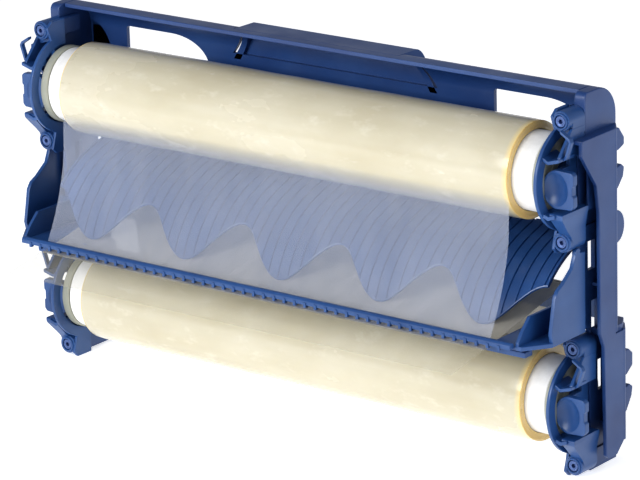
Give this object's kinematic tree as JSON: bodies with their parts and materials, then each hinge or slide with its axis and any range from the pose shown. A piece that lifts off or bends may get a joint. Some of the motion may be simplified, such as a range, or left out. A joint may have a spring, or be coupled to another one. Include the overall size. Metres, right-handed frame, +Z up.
{
  "type": "cold roll laminator film cartridge",
  "caption": "Moulded cartridge of a cold roll laminator: a frame with end caps carries film supply rolls, a wavy ribbed feed chute and a toothed exit bar where the films join.",
  "frame": {"origin": "centre of the bounding box in plan, at the level the cartridge stands on", "axes": "+X along the film rolls to the right end, -Y towards the side where the joined film leaves, +Z up"},
  "size_m": [0.376, 0.1212, 0.2084],
  "materials": {
    "blue_plastic": "fine satin moulded ABS, blue",
    "grey_plastic": "satin moulded plastic, light grey",
    "core_board": "smooth white wound board",
    "film_roll": "wound clear adhesive film, cream with amber ends",
    "film_sheet": "clear polyester film, slightly milky, glossy",
    "screw_steel": "dark plated steel"
  },
  "bodies": {
    "root": {"right_side_frame": "blue_plastic", "left_side_frame": "blue_plastic", "back_panel": "blue_plastic", "handle_shell": "blue_plastic", "feed_chute": "blue_plastic", "exit_bar": "blue_plastic", "film_support": "blue_plastic", "right_cheek": "blue_plastic", "left_cheek": "blue_plastic", "rear_film_guide": "blue_plastic", "upper_web": "film_sheet", "lower_web": "film_sheet", "film_tail": "film_sheet", "upper_right_cap": "blue_plastic", "upper_left_cap": "blue_plastic", "lower_right_cap": "blue_plastic", "lower_left_cap": "blue_plastic", "upper_right_top_screw": "screw_steel", "upper_left_top_screw": "screw_steel", "upper_right_bottom_screw": "screw_steel", "upper_left_bottom_screw": "screw_steel", "lower_right_top_screw": "screw_steel", "lower_left_top_screw": "screw_steel", "lower_right_bottom_screw": "screw_steel", "lower_left_bottom_screw": "screw_steel"},
    "upper_roll": {"upper_film_roll": "film_roll", "upper_core": "core_board", "upper_right_hub": "grey_plastic", "upper_left_hub": "grey_plastic"},
    "lower_roll": {"lower_film_roll": "film_roll", "lower_core": "core_board", "lower_right_hub": "grey_plastic", "lower_left_hub": "grey_plastic"}
  },
  "joints": [
    {"name": "upper_roll_spin", "type": "hinge", "parent": "root", "child": "upper_roll", "pos_m": [0, 0.01505, 0.164], "axis": [1, 0, 0], "continuous": true},
    {"name": "lower_roll_spin", "type": "hinge", "parent": "root", "child": "lower_roll", "pos_m": [0, 0.02415, 0.0392], "axis": [1, 0, 0], "continuous": true}
  ]
}
